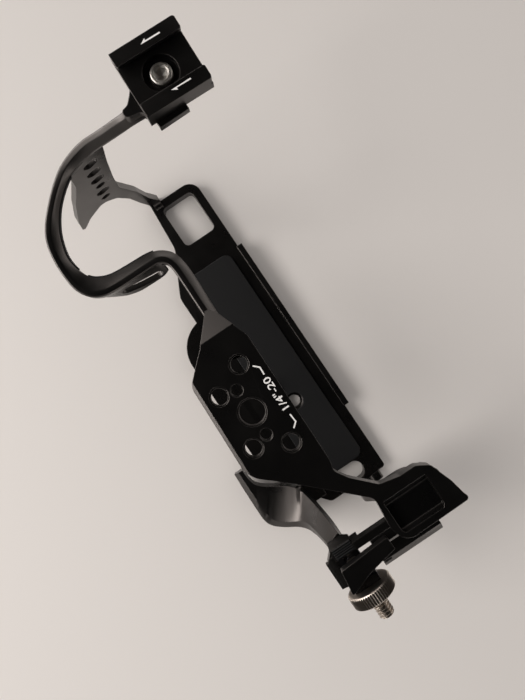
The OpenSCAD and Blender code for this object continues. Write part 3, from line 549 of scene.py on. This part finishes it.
for name, path in (("leader_right", [(7.75, -4.45), (10.85, -4.2), (12.4, -6.0)]),
                   ("leader_left", [(-12.9, -5.8), (-11.2, -4.05), (-8.3, -4.15)])):
    printed(name, line_outline(path, 0.5), plate_top)

lettering = bpy.data.curves.new("thread_size", "FONT")
lettering.body = '1/4"-20'
lettering.extrude = 0.006
lettering.offset = 0.012    # makes the strokes bolder
drawn = placed("thread_size_drawn", lettering)
bpy.context.view_layer.update()
letters = bpy.data.meshes.new_from_object(drawn.evaluated_get(
    bpy.context.evaluated_depsgraph_get()))
bpy.data.objects.remove(drawn)
at = points_of(letters)
unit = (at - at.min(axis=0)) / (at.max(axis=0) - at.min(axis=0))
# the line runs from its start towards -X, with the tops of its letters towards -Y
start_x, start_y, long, high = 5.45, -3.15, 12.6, 2.7
put_points(letters, np.c_[start_x - long * unit[:, 0], start_y - high * unit[:, 1],
                          plate_top + ink * unit[:, 2]])
thread_size = placed("thread_size", letters)
paint(thread_size, white_print)
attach(thread_size, "cage")

# ---- Side wall, rail and strut -----------------------------------------------------------
# Milled aluminium, anodised with the rest. The wall at the connector end is screwed to the base
# and carries the short dovetail rail and one quarter inch hole; the curved strut holds up the
# cable clamp in front of it.
machined("side_wall", black_anodised, 0.3)
machined("side_rail", black_anodised, 0.2)
machined("front_strut", black_anodised, 0.0, 32)
to_cable_end = (1, 0, 0)
tapped("wall_quarter_thread", (0, 16.5, 47), to_cable_end, quarter_bore, quarter_pitch,
       low=61.6, high=65.4)

# ---- Cold shoe ---------------------------------------------------------------------------
# A milled and anodised block with a tee slot for an accessory foot. One stainless socket head
# screw holds it to the arm, and two printed arrows show which way the foot slides in.


def tighten_corner(piece, corner, inward, old, new):
    """An upright rounded corner made sharper: a point on the old round, which is centred at
    corner + old * inward, goes to corner + new * inward plus new / old of its offset."""
    near = 0.06
    at = points_of(piece.data)
    offset = at[:, :2] - (corner + old * inward)
    on_round = (np.abs(np.linalg.norm(offset, axis=1) - old) < near) & np.all(
        np.round(offset * np.sign(inward), 1) <= 0.1, axis=1)
    at[on_round, :2] = corner + new * inward + offset[on_round] * (new / old)
    put_points(piece.data, at)


# the block is turned back to its own frame for the corners of its lips, which lie at half the
# width of the block and of the opening between the lips, at the far end of both
shoe = machined("shoe_block", black_anodised, 0.25)
shoe_turn, shoe_spot = math.radians(-1.9), (-100.4, 21)
block_half, opening_half, lip_end = 10.75, 6.3, 11.6
shift = np.array([*shoe_spot, 0]) / 1000
shoe.data.transform(Matrix.Rotation(-shoe_turn, 4, "Z") @ Matrix.Translation(-shift))
for side in (-1, 1):
    tighten_corner(shoe, np.array([side * block_half, lip_end]), np.array([-side, -1.0]),
                   old=2.225, new=0.9)
    tighten_corner(shoe, np.array([side * opening_half, lip_end]), np.array([side, -1.0]),
                   old=1.78, new=0.7)
shoe.data.transform(Matrix.Translation(shift) @ Matrix.Rotation(shoe_turn, 4, "Z"))


def spread(points, rows):
    """Rows spread evenly over a list of pairs and read on the straight lines between them: each
    row's place in the list, its first number and its second."""
    known = np.arange(len(points))
    place = np.linspace(0, len(points) - 1, rows)
    first, second = np.array(points, float).T
    return place, np.interp(place, known, first), np.interp(place, known, second)


# the screw head's rings, from its rim in to the socket: radius, height over its seat
place, radius, height = spread([
    (1.6, -5.6), (2.0, -5.2), (2.0, 0.0), (3.5, 0.0), (3.5, 1.5), (3.42, 1.72), (3.1, 2.04),
    (2.95, 2.1), (2.72, 2.1), (2.6, 1.9), (2.48, 1.9), (2.36, 2.08), (2.02, 1.84), (1.8, 1.2),
    (0.9, 0.6), (0.05, 0.08)], 91)
# in the socket, which starts past the eleventh of them, a ring is six-sided: its radius is the
# flat's distance over the cosine of the angle from the middle of that flat
steps, socket_start, seat = 96, 11.6, 107.6
angle = np.arange(steps) * 2 * np.pi / steps
six = np.cos(np.pi / 6) / np.cos(np.mod(angle, np.pi / 3) - np.pi / 6)
in_socket = np.clip(place - socket_start, 0, 1)[:, None]
socket = radius[:, None] * (1 + in_socket * (six - 1))
screw = skin("shoe_socket_screw", turned((*shoe_spot, seat), upright, height, socket, steps),
             steel, "cage")
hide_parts("shoe_screw")

shoe_top, half_line = 113.5, 0.24
for name, (x0, y0), (x1, y1), out in (
        ("shoe_arrow_left", (-108.5, 26.8), (-108.7, 20.2), -1),
        ("shoe_arrow_right", (-92.4, 26.8), (-92.7, 20.1), 1)):
    printed(name, [(x0 - half_line * out, y0), (x1 - 0.1 * out, y1), (x1 + 0.95 * out, y1 + 1.9),
                   (x1 + 0.26 * out, y1 + 1.75), (x0 + half_line * out, y0)], shoe_top)

# ---- Cable clamp -------------------------------------------------------------------------
# Two cheeks of anodised aluminium: the fixed one, screwed to the wall's bar, with its ribbed
# silicone pad, and the jaw that the thumb screw closes on the cable, with a plain one.
machined("clamp_body", black_anodised, 0.25)
machined("clamp_pad", silicone, 0.06)
machined("clamp_jaw", black_anodised, 0.25)
machined("jaw_pad", silicone, 0.1)

# ---- Thumb screw -------------------------------------------------------------------------
# Turned from steel and nickel plated: a straight knurled knob, the threaded shank that draws
# the jaw, and a quarter inch stud on the outer side that an accessory screws on to. The plating
# is a warm grey, and fingers leave it duller in patches 0.9 mm wide.
nickel = bare_metal("nickel_plated_steel", "AFA69D", 0.0009, 3.0, 0.34, 0.4)
screw_line = (0, -16.4, 62)

# the knob's section is x, radius; the knurl cuts 56 vees round the rim, so the radius is the
# smaller of the section's and that of the knurled rod it was turned from
knob_radius, knurl_depth, vees, steps_a_vee = 9.1, 0.5, 56, 10
steps = vees * steps_a_vee
place, x, radius = spread([
    (79.32, 0.6), (79.32, 8.0), (79.4, 8.4), (79.8, 8.9), (80.0, knob_radius),
    (84.1, knob_radius), (84.25, 8.9), (84.62, 8.4), (84.7, 8.0), (84.7, 7.1), (84.45, 6.8),
    (84.4, 3.9), (84.5, 3.4), (84.5, 0.6)], 79)
vee = np.abs(2 * np.mod(np.arange(steps) / steps_a_vee, 1) - 1)
knurled = knob_radius - knurl_depth * np.clip(1.2 * vee - 0.1, 0, 1)
rim = np.minimum(radius[:, None], knurled[None, :])
knob = skin("thumb_screw_knob", turned(screw_line, to_cable_end, x, rim, steps), nickel,
            "thumb_screw_body")
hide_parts("thumb_screw")

# x and radius, rings, steps round, depth of the cut, and where the thread starts and stops
for name, section, rings, steps, cut, start, stop in (
        ("thumb_screw_shank", [(68.5, 2.1), (68.9, 2.5), (75.05, 2.5), (75.1, 2), (75.9, 2),
                               (75.95, 2.5), (79.4, 2.5)], 170, 48, 0.55, 67.5, 75.2),
        ("thumb_screw_stud", [(84.2, 2.6), (87.6, 2.6), (87.85, 3.17), (92.5, 3.17),
                              (93.2, 2.5)], 150, 56, 0.78, 87.6, 94)):
    skin(name, threaded(screw_line, to_cable_end, section, rings, steps, cut, start, stop),
         nickel, "thumb_screw_body")

# ---- Table, light and camera -------------------------------------------------------------
# A pale matt table, soft boxes round it and a dark card overhead, as for a small black
# product; the card is what the flat black faces mirror.


def flat_sheet(name, x0, y0, x1, y1, z, finish, colour):
    """A stage sheet: one level face from (x0, y0) to (x1, y1), matt and of one colour."""
    mesh = bpy.data.meshes.new(name)
    mesh.from_pydata([(x0, y0, z), (x1, y0, z), (x1, y1, z), (x0, y1, z)], [], [(0, 1, 2, 3)])
    sheet = placed(name, mesh)
    material, tree = new_finish(finish)
    shader = add(tree, "ShaderNodeBsdfDiffuse", {"Color": linear(colour)})
    add(tree, "ShaderNodeOutputMaterial", links={"Surface": shader.outputs["BSDF"]})
    paint(sheet, material)
    return sheet


flat_sheet("table_top", -6, -6, 6, 6, 0, "matt_table_paper", "D9D5D1")
dark_card = flat_sheet("dark_card", -0.9, -1.6, 1.5, 1.3, 0.62, "black_card_felt", "050505")
dark_card.visible_camera = False
dark_card.visible_shadow = False
dark_card.visible_diffuse = False

# the room's light, and the pale backdrop that the camera, gloss and clear things see instead
world = bpy.data.worlds.new("studio")
bpy.context.scene.world = world
world.use_nodes = True
tree = world.node_tree
tree.nodes.clear()
path = add(tree, "ShaderNodeLightPath")
seen = add(tree, "ShaderNodeMath", {"operation": "MAXIMUM"},
           {0: path.outputs["Is Camera Ray"], 1: path.outputs["Is Glossy Ray"]})
seen = add(tree, "ShaderNodeMath", {"operation": "MAXIMUM"},
           {0: seen.outputs["Value"], 1: path.outputs["Is Transmission Ray"]})
room = add(tree, "ShaderNodeBackground", {"Color": linear("DAD6D4"), "Strength": 0.75})
backdrop = add(tree, "ShaderNodeBackground", {"Color": linear("C9C5C2"), "Strength": 1.0})
mix = add(tree, "ShaderNodeMixShader", links={0: seen.outputs["Value"],
          1: room.outputs["Background"], 2: backdrop.outputs["Background"]})
add(tree, "ShaderNodeOutputWorld", links={"Surface": mix.outputs["Shader"]})

# the camera looks straight down, turned so that its right and upward directions are these
right = np.array([0.5592, 0.8290, 0.0])
upward = np.array([-0.8290, 0.5592, 0.0])


def soft_box(name, side, rise_deg, distance, width, height, watts):
    """A soft box at the end of a boom that leaves the cage along side and rises by rise_deg."""
    lamp = bpy.data.lights.new(name, "AREA")
    lamp.shape = "RECTANGLE"
    lamp.size = width
    lamp.size_y = height
    lamp.energy = watts
    lamp.color = linear("FFFAF6")[:3]
    box = placed(name, lamp)
    out = np.array(side) / np.linalg.norm(side)
    rise = math.radians(rise_deg)
    away = out * math.cos(rise) + np.array([0, 0, math.sin(rise)])
    across = np.cross([0, 0, 1.0], away)
    across /= np.linalg.norm(across)
    up = np.cross(away, across)
    turn = Matrix((across, up, away)).transposed()
    box.matrix_world = Matrix.Translation(away * distance) @ turn.to_4x4()
    return box


# The window on the lens side and the strips all round stand for the room: they are seen in the
# parts' gloss and are kept off the table, which has its own box above, crossed with the camera's
# polariser so that it shows in no reflection.
for name, side, rise, away, width, height, watts in (
        ("window", (-0.75, -0.66, 0), 35, 0.7, 0.8, 0.38, 2.0),
        ("strip_key", -right, 9, 1.0, 1.6, 0.36, 17.0),
        ("strip_grip_end", (-1, 0.6, 0), 9, 1.0, 0.8, 0.22, 0.9),
        ("strip_back", (0.1, 1, 0), 9, 1.0, 1.2, 0.24, 1.8),
        ("strip_cable_end", (1, 0.1, 0), 9, 1.0, 1.2, 0.22, 2.2)):
    soft_box(name, side, rise, away, width, height, watts).visible_diffuse = False
overhead = soft_box("polarised_box", -right - 0.2 * upward, 46, 0.85, 0.5, 0.4, 4.4)
overhead.visible_glossy = False

# the lens hangs 0.287 m over the table, and its focal length is 600 of the 700 pixels that the
# frame is high
lens_spot = (-0.0155, 0.0, 0.2874)
sensor_mm, focal_pixels, frame_pixels = 36.0, 600, 700
camera = bpy.data.cameras.new("camera")
camera.sensor_width = sensor_mm
camera.lens = sensor_mm * focal_pixels / frame_pixels
camera.clip_start = 0.01
view_point = placed("camera", camera)
view_point.matrix_world = (Matrix.Translation(lens_spot)
                           @ Matrix((right, upward, (0, 0, 1))).transposed().to_4x4())
bpy.context.scene.camera = view_point
bpy.context.scene.view_settings.view_transform = "Standard"
